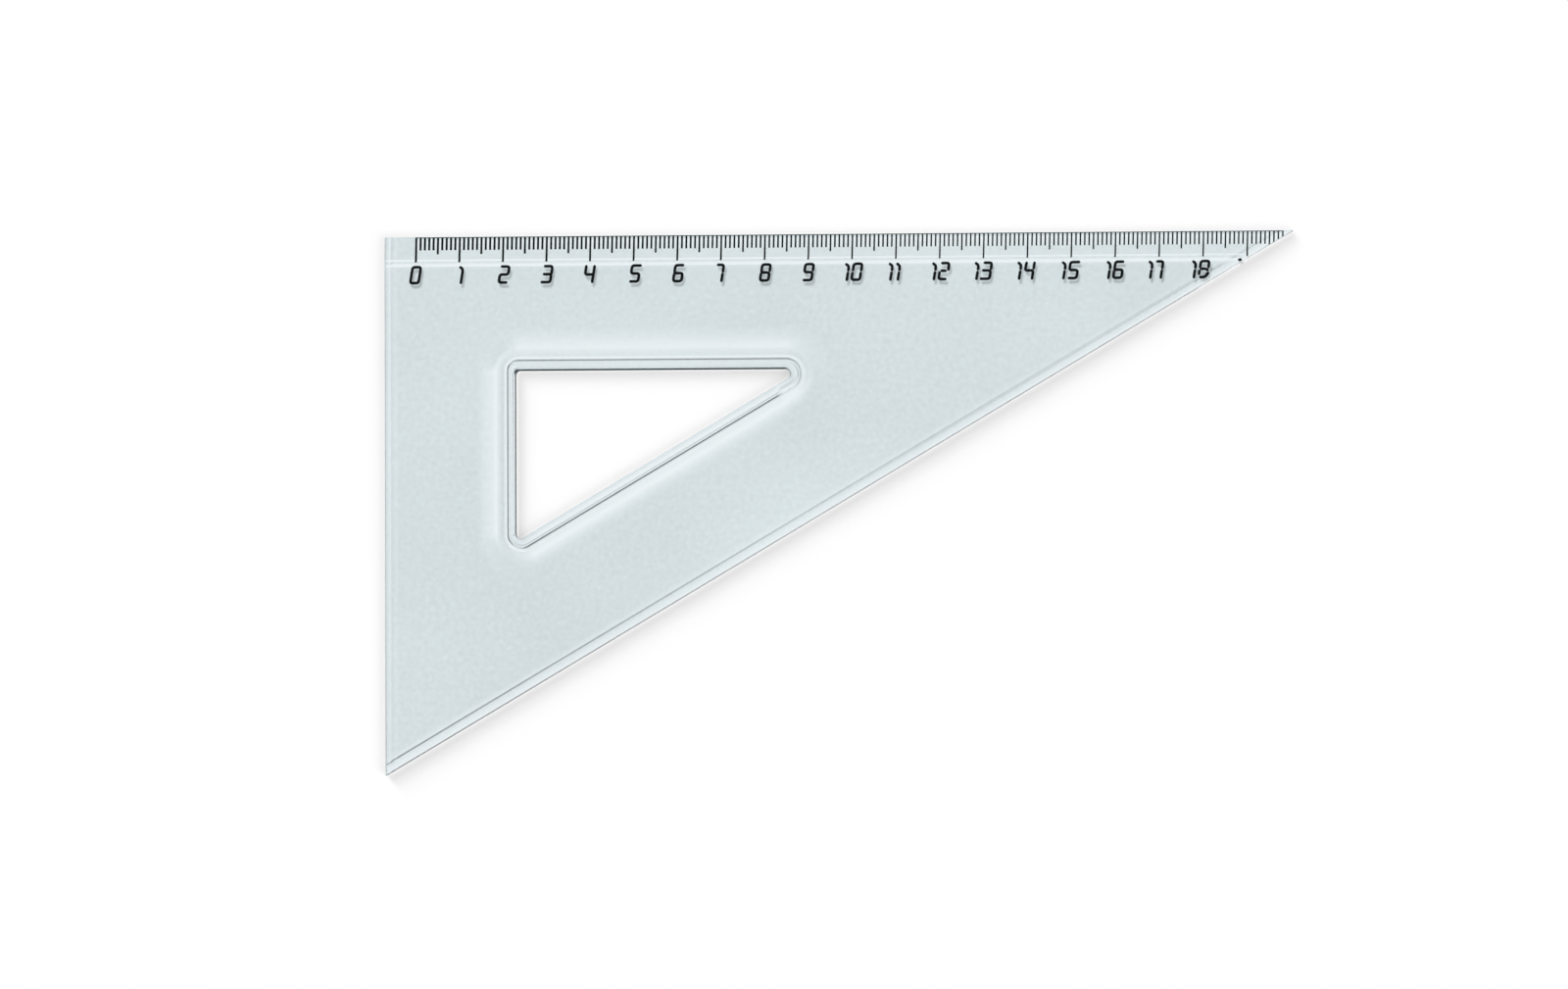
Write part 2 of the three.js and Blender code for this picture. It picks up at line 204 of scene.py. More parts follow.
def makeClearPlastic(mottleGroup):
    # the clouds are pairs of mottle and brightness, and what passes is pairs of slant and share
    look = {
        "plain": (0.766, 0.853, 0.877, 1),
        # the next two colours are the painted shade and the painted highlight that the edges' painted light
        # mixes in
        "paintedShade": (0.004, 0.007, 0.008, 1),
        "pale": (0.91, 0.975, 1.0, 1),
        "clouds": ((0.35, 0.89), (0.65, 1)),
        "patch": 0.065,
        "patchPlace": (-10.5 * mm, -4 * mm, 0),
        "patchReach": (42 * mm, 15 * mm, 1),
        "sheetPasses": ((0.15, 1), (0.65, 0.93)),
        "wallPasses": ((0.12, 0.88), (0.2, 0.08)),
        "ior": 1.49,
        "roughness": 0.02,
        "waviness": 0.03,
        "waveHeight": 0.1 * mm,
    }
    material = makeMaterial("clearPlastic")
    tree = material.node_tree
    place = addNode(tree, "ShaderNodeTexCoord")
    mottle = addNode(tree, "ShaderNodeGroup", node_tree=mottleGroup)
    link(tree, place.outputs["Object"], mottle.inputs["Vector"])
    cloud = mapRange(tree, mottle.outputs["Mottle"], *look["clouds"])
    # one broad pale patch, long in the slanting side's direction
    spread = addNode(tree, "ShaderNodeMapping", vector_type="TEXTURE")
    setInputs(spread, Location=look["patchPlace"], Scale=look["patchReach"])
    spread.inputs["Rotation"].default_value[2] = plateSize["smallAngle"]
    link(tree, place.outputs["Object"], spread.inputs["Vector"])
    patch = addNode(tree, "ShaderNodeTexGradient", gradient_type="SPHERICAL")
    link(tree, spread.outputs["Vector"], patch.inputs["Vector"])
    lifted = mathNode(tree, "ADD", mathNode(tree, "MULTIPLY", patch.outputs["Fac"], look["patch"]), cloud)
    clouded = addNode(tree, "ShaderNodeMix", data_type="RGBA", blend_type="MULTIPLY")
    clouded.inputs["Factor"].default_value = 1
    clouded.inputs["A"].default_value = look["plain"]
    link(tree, lifted, clouded.inputs["B"])
    # painted light along the edges: above nought the colour turns towards a painted highlight, below nought
    # towards painted shade
    edge = addNode(tree, "ShaderNodeAttribute", attribute_name="paintedLightTone")
    pale = addNode(tree, "ShaderNodeMix", data_type="RGBA")
    link(tree, edge.outputs["Fac"], pale.inputs["Factor"])
    link(tree, clouded.outputs["Result"], pale.inputs["A"])
    pale.inputs["B"].default_value = look["pale"]
    tone = addNode(tree, "ShaderNodeMix", data_type="RGBA")
    link(tree, mathNode(tree, "MULTIPLY", edge.outputs["Fac"], -1), tone.inputs["Factor"])
    link(tree, pale.outputs["Result"], tone.inputs["A"])
    tone.inputs["B"].default_value = look["paintedShade"]
    wave = addNode(tree, "ShaderNodeBump")
    setInputs(wave, Strength=look["waviness"], Distance=look["waveHeight"])
    link(tree, mottle.outputs["Height"], wave.inputs["Height"])
    surface = addNode(tree, "ShaderNodeBsdfPrincipled")
    setInputs(surface, **{
        "Roughness": look["roughness"], "IOR": look["ior"], "Transmission Weight": 1, "Metallic": 0,
    })
    link(tree, tone.outputs["Result"], surface.inputs["Base Color"])
    link(tree, wave.outputs["Normal"], surface.inputs["Normal"])
    # the sheet takes more of slanting light, as its reflections do, and a wall takes the low light
    # that meets it from outside
    slant = slantOfLight(tree)
    sheet = mapRange(tree, slant, *look["sheetPasses"])
    wall = mapRange(tree, slant, *look["wallPasses"])
    onWall = addNode(tree, "ShaderNodeAttribute", attribute_name="wallShade")
    side = addNode(tree, "ShaderNodeNewGeometry")
    outside = addNode(tree, "ShaderNodeMath", operation="SUBTRACT", use_clamp=True)
    link(tree, onWall.outputs["Fac"], outside.inputs[0])
    link(tree, side.outputs["Backfacing"], outside.inputs[1])
    share = addNode(tree, "ShaderNodeMix", data_type="FLOAT")
    link(tree, outside.outputs["Value"], share.inputs["Factor"])
    link(tree, sheet, share.inputs["A"])
    link(tree, wall, share.inputs["B"])
    return finishMaterial(material, passLight(tree, surface, share.outputs["Result"]))


def makeInk(name, mottleGroup, passing):  # passing is the share of high light that gets by a face
    look = {
        "thin": (0.006, 0.008, 0.009, 1),
        "thick": (0.002, 0.0025, 0.003, 1),
        "mottle": {"Cloud Scale": 1500.0, "Grain Scale": 9000.0, "Grain Share": 0.4},
        "roughness": 0.6,
        "sheen": 0.12,
        "bump": 0.2,
        "bumpHeight": 0.01 * mm,
        "highSlant": 0.15,
        "lowSlant": 0.25,
    }
    material = makeMaterial(name)
    tree = material.node_tree
    place = addNode(tree, "ShaderNodeTexCoord")
    mottle = addNode(tree, "ShaderNodeGroup", node_tree=mottleGroup)
    setInputs(mottle, **look["mottle"])
    link(tree, place.outputs["Object"], mottle.inputs["Vector"])
    tone = addNode(tree, "ShaderNodeMix", data_type="RGBA")
    tone.inputs["A"].default_value = look["thin"]
    tone.inputs["B"].default_value = look["thick"]
    link(tree, mottle.outputs["Mottle"], tone.inputs["Factor"])
    bump = addNode(tree, "ShaderNodeBump")
    setInputs(bump, Strength=look["bump"], Distance=look["bumpHeight"])
    link(tree, mottle.outputs["Height"], bump.inputs["Height"])
    surface = addNode(tree, "ShaderNodeBsdfPrincipled")
    setInputs(surface, **{"Roughness": look["roughness"], "Specular IOR Level": look["sheen"]})
    link(tree, tone.outputs["Result"], surface.inputs["Base Color"])
    link(tree, bump.outputs["Normal"], surface.inputs["Normal"])
    share = mapRange(tree, slantOfLight(tree), (look["highSlant"], passing), (look["lowSlant"], 1))
    return finishMaterial(material, passLight(tree, surface, share))


# Plate: a sheet of faces above, one below, and a wall between them round the outline and the cut-out.
# It is drawn from the right angle's corner, with the long leg along +X and the short leg along -Y.

rightAngle = math.pi / 2
smallAngle = plateSize["smallAngle"]
tipShort = plateSize["tipRadius"] / math.tan(smallAngle / 2) - plateSize["tipRadius"]
longLeg = cadBox[1][0] - cadBox[0][0] + tipShort
shortLeg = longLeg * math.tan(smallAngle)
cornerX, cornerY = cadBox[0][0], cadBox[1][1]


def sideDistances(x, y):
    fromSlant = (longLeg - x) * math.sin(smallAngle) + y * math.cos(smallAngle)
    return -y, x, fromSlant


def insetCorners(fromLong, fromShort, fromSlant):
    tipX = longLeg - (fromSlant + fromLong * math.cos(smallAngle)) / math.sin(smallAngle)
    tipY = (fromSlant + fromShort * math.sin(smallAngle)) / math.cos(smallAngle) - shortLeg
    slantTurn = 2 * math.pi - (rightAngle - smallAngle)
    return (
        (fromShort, -fromLong, rightAngle, math.pi),
        (fromShort, tipY, math.pi, slantTurn),
        (tipX, -fromLong, slantTurn, 2.5 * math.pi),
    )


# The cut-out's narrow end has painted highlights and painted shade of its own. They start at two places,
# each given as how far it is before the bend and their share there, and are gone when one over the fade
# of the bend is done.
narrowEndPaintedLight = {"runIns": ((4.2 * mm, 0), (2.6 * mm, 1)), "fade": 3}


def roundedTriangle(insets, radii, steps, runIns=()):
    # points, each with the share that each side has in it and the share of the narrow end's tones
    points = []
    for corner, radius in enumerate(radii):
        x, y, start, end = insetCorners(*(inset + radius for inset in insets))[corner]
        for back, endShare in runIns if corner == 2 else ():
            reach = (radius * math.cos(start) - back * math.cos(smallAngle),
                     radius * math.sin(start) - back * math.sin(smallAngle))
            points.append((x + reach[0], y + reach[1], [0, 0, 1], endShare))
        for step in range(steps + 1):
            turn = start + (end - start) * step / steps
            shares = [0, 0, 0]
            shares[corner] += 1 - step / steps
            shares[(corner + 1) % 3] += step / steps
            endShare = max(0, 1 - narrowEndPaintedLight["fade"] * step / steps) if corner == 2 else 0
            points.append((x + radius * math.cos(turn), y + radius * math.sin(turn), shares, endShare))
    return points


def along(stops, distance):
    if distance <= stops[0][0]:
        return stops[0][1]
    for (near, first), (far, last) in zip(stops, stops[1:]):
        if distance <= far:
            return first + (last - first) * (distance - near) / (far - near)
    return stops[-1][1]


def roundDrop(distance, radius):  # how far a rounded edge lies below the face it rounds
    if distance >= radius:
        return 0
    return radius - math.sqrt(max(radius ** 2 - (radius - distance) ** 2, 0))


def filletedRiser(foot, low):  # up from a ledge to the full thickness, rounded at its foot and at its top
    run, radius, steps = plateSize["riserRun"], plateSize["riserRound"], plateSize["riserSteps"]
    slope = math.atan2(plateSize["thickness"] - low, run)
    reach = radius * math.tan(slope / 2)
    turns = [slope * step / steps for step in range(steps + 1)]
    lower = [(foot - reach + radius * math.sin(t), low + radius * (1 - math.cos(t))) for t in turns]
    head = plateSize["thickness"]
    upper = [(foot + run + reach - radius * math.sin(t), head - radius * (1 - math.cos(t))) for t in turns]
    return lower + upper[::-1]


def facetProfile():
    size = plateSize
    steps = size["shoulderSteps"]
    points = [(0, size["facetEdge"])]
    for step in range(steps + 1):
        share = step / steps
        rise = (size["thickness"] - size["facetInner"]) * (1 - (1 - share) ** 3)
        points.append((size["facetWidth"] + size["shoulderWidth"] * share, size["facetInner"] + rise))
    return points


def rimProfile(width):
    size = plateSize
    steps = size["dishSteps"]
    points = [(0, size["lipThickness"])] + filletedRiser(width - size["riserRun"], size["rimThickness"])
    for step in range(steps + 1):
        drop = size["dishDepth"] * (1 - math.cos(2 * math.pi * step / steps)) / 2
        points.append((width + size["dishGap"] + size["dishWidth"] * step / steps, size["thickness"] - drop))
    return points


facetSteps = facetProfile()
ledgeSteps = filletedRiser(plateSize["ledgeWidth"] - plateSize["riserRun"], plateSize["ledgeThickness"])

# Painted light along the edges of the clear plastic, -1 painted shade, 0 plain and 1 painted highlight,
# by distance in millimetres: the dark and pale lines, halos and glints that refraction and reflection
# make at edges, risers and the dish, with painted shade at most walls' feet, a painted highlight at the
# short side's outer foot, and a painted lightening under the scale. Each side of the outline has a tone
# for either end, left and right or upper and lower. The cut-out's have one for its long, short and
# slanting side, and its corners add theirs halfway round each bend. The tones at its narrow end take
# over before the slanting side ends, and fade out round the bend.
paintedEdgeLight = {
    "long": ((0, -0.2, -0.2), (0.2, -0.15, -0.15), (0.45, 0, 0), (4.95, 0, 0), (5.1, 1, 0.8),
             (5.42, 1, 0.8), (5.55, 0, 0), (6.05, 0, 0), (6.2, 1, 1), (6.62, 1, 1), (6.75, 0.2, 0.5),
             (7.2, 0, 0.1), (7.6, 0, 0)),
    "short": ((0, 0.6, 0.8), (0.12, 0.6, 0.8), (0.3, 0.1, 0.4), (0.5, -0.1, 0.1), (0.65, 0, 0.1),
              (0.85, 0.6, 0.3), (1.2, 0.6, 0.3), (1.4, 0, 0), (1.75, -0.12, -0.1), (2.1, 0, 0),
              (2.5, 0.3, 0.2), (3, 0, 0)),
    "slant": ((0, -1, -1), (0.05, -1, -0.6), (0.12, -0.9, 1), (0.22, 1, 1), (0.45, 1, 1),
              (0.58, 1, 0.7), (0.75, 0.7, 0.5), (1.25, 0.6, 0.35), (1.5, 0.5, 0), (1.65, 0.3, -0.5),
              (1.8, 0, -0.45), (1.93, -0.85, -0.1), (2.15, -0.85, 0), (2.3, 0.1, 0.1), (2.5, 0.5, 0.2),
              (2.8, 0.4, 0.1), (3.3, 0.1, 0), (3.8, 0, 0)),
    "scale": ((0.6, 0), (0.85, 0.8), (1.3, 0.8), (1.8, 0.65), (2.9, 0.55), (3.05, 0.15), (4.9, 0.2),
              (4.95, 0)),
    "opening": ((0, (-1, -1, 0)), (0.1, (-1, -0.7, 0)), (0.22, (-1, 0.5, 0.1)),
                (0.35, (-1, 0.6, 0.3)), (0.48, (-0.15, 0.6, 0.45))),
    "riser": ((-1.2, (0.35, 0.5, 1)), (-0.95, (0.35, 0.5, 0.6)), (-0.8, (0.35, 0.5, -0.2)),
              (-0.62, (0.35, 0.5, -0.2)), (-0.5, (0.4, 0.5, 0.7)), (-0.36, (0.3, 0.4, 0.3)),
              (-0.27, (0, 0.2, -0.9)), (-0.18, (-0.6, 0, -1)), (-0.11, (-0.95, -0.95, -1)),
              (0, (-0.95, -0.95, -1)), (0.06, (-0.7, -0.2, -0.6)), (0.12, (-0.2, 0.9, -0.1)),
              (0.25, (0.2, 1, 0.3)), (0.35, (0.7, 1, 0.7)), (0.55, (1, 1, 1)), (0.67, (1, 0.8, 0.8)),
              (0.8, (0.35, 0.1, 0.7)), (1.1, (0.25, -0.1, 0.8)), (1.7, (0.4, 0.15, 1)),
              (2.2, (0.6, 0.5, 1)), (2.7, (0.85, 1, 0.7)), (3.6, (0.7, 0.65, 0.35)),
              (4.6, (0.45, 0.5, 0.12)), (5.6, (0.25, 0.35, 0)), (6.6, (0.12, 0.12, 0)), (7.6, (0, 0, 0))),
    "corners": (((0, -0.6), (0.5, -1.6), (0.7, -0.2), (0.95, 0.4), (1.3, 0.2), (1.6, -0.3),
                 (1.85, -0.3), (1.95, 0.4), (2.1, 0.4), (2.3, 0.2), (2.7, 0), (3.2, -0.15), (3.7, 0),
                 (4.2, -0.2), (4.7, -0.55), (5.2, -0.78), (5.7, -0.7), (6.2, -0.57), (7.2, -0.38),
                 (8.2, -0.18), (9.2, -0.05), (9.6, 0)),
                ((0, 0), (0.2, -0.2), (1.1, -0.2), (1.6, -0.4), (1.8, 0), (1.95, 0.7), (2.15, 0.7),
                 (2.4, 0.2), (3, 0), (3.6, -0.2), (4.1, -0.52), (4.6, -0.7), (5.1, -0.6), (5.8, -0.4),
                 (6.6, -0.22), (7.6, -0.08), (8.6, 0)),
                ((0, 0.7), (0.3, 0.1), (0.6, 0.2), (1.2, 0), (1.6, -0.7), (1.9, 0), (2.5, 0.2), (3, 0),
                 (3.7, -0.5), (4.5, -0.48), (5.2, -0.66), (5.8, -0.5), (6.4, -0.32), (7, -0.17),
                 (7.8, -0.06), (8.6, 0))),
    "narrowEnd": ((0, 0.2), (0.4, 0.9), (0.9, 1), (1.2, -0.3), (1.45, 0.3), (1.7, 1), (2.1, 1),
                  (2.35, -0.25), (2.6, 0.3), (2.9, 1), (4.3, 1), (5.2, 0.5), (6.2, 0.1), (7.4, 0)),
    # painted shade and painted highlight on the lower sheet's edge, for the outline's and the cut-out's sides
    "foot": {"outline": (0, 0.8, -0.7), "opening": (-0.7, -0.95, 0)},
    "paintedFootWidth": 0.31,
}


def columnStops(side, width):
    stops = [(distance * mm, tones[side]) for distance, tones in paintedEdgeLight["opening"]]
    return stops + [(width + distance * mm, tones[side]) for distance, tones in paintedEdgeLight["riser"]]


# The corners' painted highlights and painted shade gather at the middle of a bend near the opening, and spread
# along it further out
bendSpread = {"near": 2, "far": 0.7, "change": 3 * mm}


def bendPaintedLight(shares, out):  # shares are whole along the sides, and even halfway round a bend
    corner = next(corner for corner in range(3) if shares[(corner + 2) % 3] == 0)
    power = bendSpread["near"] if out < bendSpread["change"] else bendSpread["far"]
    bend = (4 * shares[corner] * shares[(corner + 1) % 3]) ** power
    return bend * along([(far * mm, tone) for far, tone in paintedEdgeLight["corners"][corner]], out)


# The cut-out's loops carry painted light: the tone is painted highlight or painted shade, and the foot is
# painted shade or highlight at the lower sheet's edge.
def cutOutLoops():  # each with its points' height and tone, and how far it lies from the opening's edge
    size = plateSize
    steps = size["roundSteps"]
    rounds = [size["edgeRound"] * (1 - math.cos(rightAngle * step / steps)) for step in range(steps + 1)]
    stations = [(0, distance) for distance in rounds]
    stations += [(0, distance * mm) for distance, _ in paintedEdgeLight["opening"][1:]]
    stations += [(1, distance) for distance, _ in rimProfile(0)[1:]]
    stations += [(1, distance * mm) for distance, _ in paintedEdgeLight["riser"]]
    loops = []
    for share, distance in sorted(stations):
        insets = [size["cutOutInset"] - share * width - distance for width in size["rimWidths"]]
        radii = [
            size["cutOutRadius"] + share * (radius - size["cutOutRadius"]) + distance
            for radius in size["rimRadii"]
        ]
        loop = []
        ring = roundedTriangle(insets, radii, size["cutOutSteps"], narrowEndPaintedLight["runIns"])
        for x, y, shares, endShare in ring:
            width = sum(part * whole for part, whole in zip(shares, size["rimWidths"]))
            out = share * width + distance
            tone = sum(part * along(columnStops(side, width), out) for side, part in enumerate(shares))
            endPaintedLight = along([(far * mm, shade) for far, shade in paintedEdgeLight["narrowEnd"]], out)
            tone += endShare * (endPaintedLight - tone)
            tone = max(-1, min(1, tone + bendPaintedLight(shares, out)))
            foot = sum(part * shade for part, shade in zip(shares, paintedEdgeLight["foot"]["opening"]))
            loop.append((x, y, along(rimProfile(width), out), out, tone, foot))
        loops.append(loop)
    return loops


def outlineLoops():
    size = plateSize
    steps = size["roundSteps"]
    loops = []
    for step in range(steps + 1):
        inset = size["edgeRound"] * (1 - math.cos(rightAngle * step / steps))
        radius = max(size["tipRadius"] - inset, 0)
        loop = []
        for x, y, shares, _ in roundedTriangle((inset,) * 3, (radius,) * 3, size["tipSteps"]):
            foot = sum(part * shade for part, shade in zip(shares, paintedEdgeLight["foot"]["outline"]))
            loop.append((x, y, None, inset, None, foot))
        loops.append(loop)
    return loops


def lineAlong(side, distance):  # a straight line at one distance in from a side
    if side == "long":
        return (0, -distance), (longLeg - distance / math.tan(smallAngle), -distance)
    if side == "short":
        return (distance, 0), (distance, (distance - longLeg) * math.tan(smallAngle))
    return (0, distance / math.cos(smallAngle) - shortLeg), (longLeg - distance / math.sin(smallAngle), 0)


# The painted lightening under the scale sets in between these two lines, just before the zero mark
scaleStart = (printSize["zeroMark"] - 0.45 * mm, printSize["zeroMark"] - 0.25 * mm)


def sideLines():
    lines = []
    for side, profile in (("long", facetSteps[1:]), ("short", ledgeSteps), ("slant", ledgeSteps)):
        distances = [distance for distance, _ in profile] + [stop[0] * mm for stop in paintedEdgeLight[side][1:]]
        lines += [lineAlong(side, distance) for distance in distances]
    for distance, _ in paintedEdgeLight["scale"]:
        lines.append(lineAlong("long", distance * mm))
    for start in scaleStart:
        lines.append(((start, 0), (start, -paintedEdgeLight["scale"][-1][0] * mm)))
    return lines


def sideHeight(distances):
    return min(along(steps, far) for steps, far in zip((facetSteps, ledgeSteps, ledgeSteps), distances))


# painted highlights and painted shade along the outline's sides, with the painted lightening under the scale
def sidePaintedLight(x, y, distances):
    tones = [0]
    run = {"long": x / longLeg, "short": -y / shortLeg, "slant": x / longLeg}
    for side, far in zip(("long", "short", "slant"), distances):
        first = along([(stop[0] * mm, stop[1]) for stop in paintedEdgeLight[side]], far)
        last = along([(stop[0] * mm, stop[2]) for stop in paintedEdgeLight[side]], far)
        tones.append(first + (last - first) * run[side])
    tone = max(tones) + min(tones)
    printed = max(0, min(1, (x - scaleStart[0]) / (scaleStart[1] - scaleStart[0])))
    tone += printed * along([(far * mm, lift) for far, lift in paintedEdgeLight["scale"]], distances[0])
    return max(-1, min(1, tone))


def flatPlate():  # the plate seen from above: its points, and the triangles between its feature lines
    loops = outlineLoops() + cutOutLoops()
    outline, opening = loops[0], loops[plateSize["roundSteps"] + 1]
    points, edges, known = [], [], []
    for loop in loops:
        first = len(points)
        points += [(point[0], point[1]) for point in loop]
        known += [point[2:] for point in loop]
        edges += [(first + i, first + (i + 1) % len(loop)) for i in range(len(loop))]
    for start, end in sideLines():
        edges.append((len(points), len(points) + 1))
        points += [start, end]
    found = delaunay_2d_cdt([Vector(point) / mm for point in points], edges, [], 0, plateSize["weldGap"])
    places = []
    for place, sources in zip(found[0], found[3]):
        x = min(place.x * mm, cadBox[1][0] - cadBox[0][0])
        y = max(place.y * mm, cadBox[0][1] - cadBox[1][1])
        distances = sideDistances(x, y)
        height, out, tone, foot = next((known[i] for i in sources if i < len(known)), (None,) * 4)
        if out is None:
            out = min(distances)
        if height is None:
            height, tone = sideHeight(distances), sidePaintedLight(x, y, distances)
        places.append((x, y, height, max(out, 0), tone, foot or 0))
    kept = []
    for face in found[2]:
        x, y = (sum(places[i][axis] for i in face) / 3 for axis in (0, 1))
        if insideLoop(x, y, outline) and not insideLoop(x, y, opening):
            kept.append(face)
    return places, kept


def insideLoop(x, y, loop):
    inside = False
    for start, end in zip(loop, loop[1:] + loop[:1]):
        if (start[1] > y) != (end[1] > y):
            inside ^= x < start[0] + (end[0] - start[0]) * (y - start[1]) / (end[1] - start[1])
    return inside


def wallFaces(faces, count):  # a quad below each edge that only one face of the upper sheet uses
    owners = {}
    for face in faces:
        for start, end in zip(face, face[1:] + face[:1]):
            owners[(start, end)] = owners.get((start, end), 0) + 1
    return [(end, start, start + count, end + count) for start, end in owners if (end, start) not in owners]


def makePlate(material):
    places, faces = flatPlate()
    used = sorted({i for face in faces for i in face})
    order = {old: new for new, old in enumerate(used)}
    faces = [[order[i] for i in face] for face in faces]
    top, bottom, topPaintedLight, bottomPaintedLight, walls = [], [], [], [], []
    for old in used:
        x, y, height, out, tone, foot = places[old]
        drop = roundDrop(out, plateSize["edgeRound"])
        top.append((cornerX + x, cornerY + y, height - drop))
        bottom.append((cornerX + x, cornerY + y, drop))
        walls.append(1.0 if out < hair else 0.0)
        topPaintedLight.append(tone)
        # the lower sheet takes painted foot shade or highlight at its edge, and elsewhere only the painted
        # highlights of the upper sheet
        bottomPaintedLight.append(foot if out < paintedEdgeLight["paintedFootWidth"] * mm else max(tone, 0))
    count = len(used)
    below = [[i + count for i in reversed(face)] for face in faces]
    mesh = bpy.data.meshes.new("clearPlate")
    mesh.from_pydata(top + bottom, [], faces + below + wallFaces(faces, count))
    for name, values in (("paintedLightTone", topPaintedLight + bottomPaintedLight), ("wallShade", walls + walls)):
        mesh.attributes.new(name, "FLOAT", "POINT").data.foreach_set("value", values)
    mesh.validate()
    mesh.shade_smooth()
    mesh.set_sharp_from_angle(angle=math.radians(plateSize["sharpAngle"]))
    mesh.materials.append(material)
    plate = bpy.data.objects.new("clearPlate", mesh)
    bpy.context.scene.collection.objects.link(plate)
    normals = plate.modifiers.new("faceNormals", "WEIGHTED_NORMAL")
    normals.keep_sharp = True
    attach(plate, "root")
    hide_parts("clear_plate")
    print("plate made:", len(mesh.vertices), "points,", len(mesh.polygons), "faces")
    return plate


# Printed scale: Geometry Nodes set a mark at every millimetre, drape it over the plate and thicken it

drape = {
    "markPoints": 13,  # down each mark
    "linePoints": 400,  # along the thin line
    "above": 10 * mm,  # where the flat marks start from
}


def addInputs(tree, inputs):
    for name, kind in inputs.items():
        tree.interface.new_socket(name, in_out="INPUT", socket_type=kind)
    tree.interface.new_socket("Geometry", in_out="OUTPUT", socket_type="NodeSocketGeometry")


def makeMarksTree():
    tree = bpy.data.node_groups.new("scaleMarks", "GeometryNodeTree")
    lengths = ("Spacing", "Start X", "Start Y", "Mark Width", "Baseline Width", "Short Length")
    lengths += ("Middle Length", "Long Length", "Tip X", "Edge Y", "Margin", "Clearance", "Thickness")
    lengths += ("Bold Width", "Bold Count")
    inputs = {name: "NodeSocketFloat" for name in lengths}
    inputs.update({"Count": "NodeSocketInt", "Plate": "NodeSocketObject", "Ink": "NodeSocketMaterial"})
    addInputs(tree, inputs)
    given = addNode(tree, "NodeGroupInput").outputs
    # one flat mark, a unit wide and a unit long, hanging down from its own point
    strip = addNode(tree, "GeometryNodeMeshGrid")
    setInputs(strip, **{"Size X": 1, "Size Y": 1, "Vertices X": 2, "Vertices Y": drape["markPoints"]})
    hung = addNode(tree, "GeometryNodeTransform")
    hung.inputs["Translation"].default_value = (0, -0.5, 0)
    link(tree, strip.outputs["Mesh"], hung.inputs["Geometry"])
    # the points that the marks hang from, in a row
    row = addNode(tree, "GeometryNodeMeshLine")
    step = addNode(tree, "ShaderNodeCombineXYZ")
    link(tree, given["Spacing"], step.inputs["X"])
    first = addNode(tree, "ShaderNodeCombineXYZ")
    link(tree, given["Start X"], first.inputs["X"])
    link(tree, mathNode(tree, "SUBTRACT", given["Start Y"], given["Baseline Width"]), first.inputs["Y"])
    link(tree, given["Count"], row.inputs["Count"])
    link(tree, first.outputs["Vector"], row.inputs["Start Location"])
    link(tree, step.outputs["Vector"], row.inputs["Offset"])
    # each mark's length by its place: long at a centimetre, middling at a half
    index = addNode(tree, "GeometryNodeInputIndex").outputs["Index"]
    length = given["Short Length"]
    for every, name in ((5, "Middle Length"), (10, "Long Length")):
        here = mathNode(tree, "LESS_THAN", mathNode(tree, "MODULO", index, every), 0.5)
        choice = addNode(tree, "GeometryNodeSwitch", input_type="FLOAT")
        link(tree, here, choice.inputs["Switch"])
        link(tree, length, choice.inputs["False"])
        link(tree, given[name], choice.inputs["True"])
        length = choice.outputs["Output"]
    size = addNode(tree, "ShaderNodeCombineXYZ")
    size.inputs["Z"].default_value = 1
    width = addNode(tree, "ShaderNodeMapRange")
    link(tree, index, width.inputs["Value"])
    link(tree, given["Bold Count"], width.inputs["From Max"])
    link(tree, given["Bold Width"], width.inputs["To Min"])
    link(tree, given["Mark Width"], width.inputs["To Max"])
    link(tree, width.outputs["Result"], size.inputs["X"])
    link(tree, mathNode(tree, "SUBTRACT", length, given["Baseline Width"]), size.inputs["Y"])
    marks = addNode(tree, "GeometryNodeInstanceOnPoints")
    link(tree, row.outputs["Mesh"], marks.inputs["Points"])
    link(tree, hung.outputs["Geometry"], marks.inputs["Instance"])
    link(tree, size.outputs["Vector"], marks.inputs["Scale"])
    real = addNode(tree, "GeometryNodeRealizeInstances")
    link(tree, marks.outputs["Instances"], real.inputs["Geometry"])
    # the thin line along the edge that joins them
    reach = mathNode(tree, "MULTIPLY", mathNode(tree, "SUBTRACT", given["Count"], 1), given["Spacing"])
    line = addNode(tree, "GeometryNodeMeshGrid")
    setInputs(line, **{"Vertices X": drape["linePoints"], "Vertices Y": 2})
    link(tree, mathNode(tree, "ADD", reach, given["Mark Width"]), line.inputs["Size X"])
    link(tree, given["Baseline Width"], line.inputs["Size Y"])
    middle = addNode(tree, "ShaderNodeCombineXYZ")
    link(tree, mathNode(tree, "ADD", given["Start X"], mathNode(tree, "DIVIDE", reach, 2)), middle.inputs["X"])
    half = mathNode(tree, "DIVIDE", given["Baseline Width"], 2)
    link(tree, mathNode(tree, "SUBTRACT", given["Start Y"], half), middle.inputs["Y"])
    placed = addNode(tree, "GeometryNodeTransform")
    link(tree, line.outputs["Mesh"], placed.inputs["Geometry"])
    link(tree, middle.outputs["Vector"], placed.inputs["Translation"])
    joined = addNode(tree, "GeometryNodeJoinGeometry")
    link(tree, real.outputs["Geometry"], joined.inputs["Geometry"])
    link(tree, placed.outputs["Geometry"], joined.inputs["Geometry"])
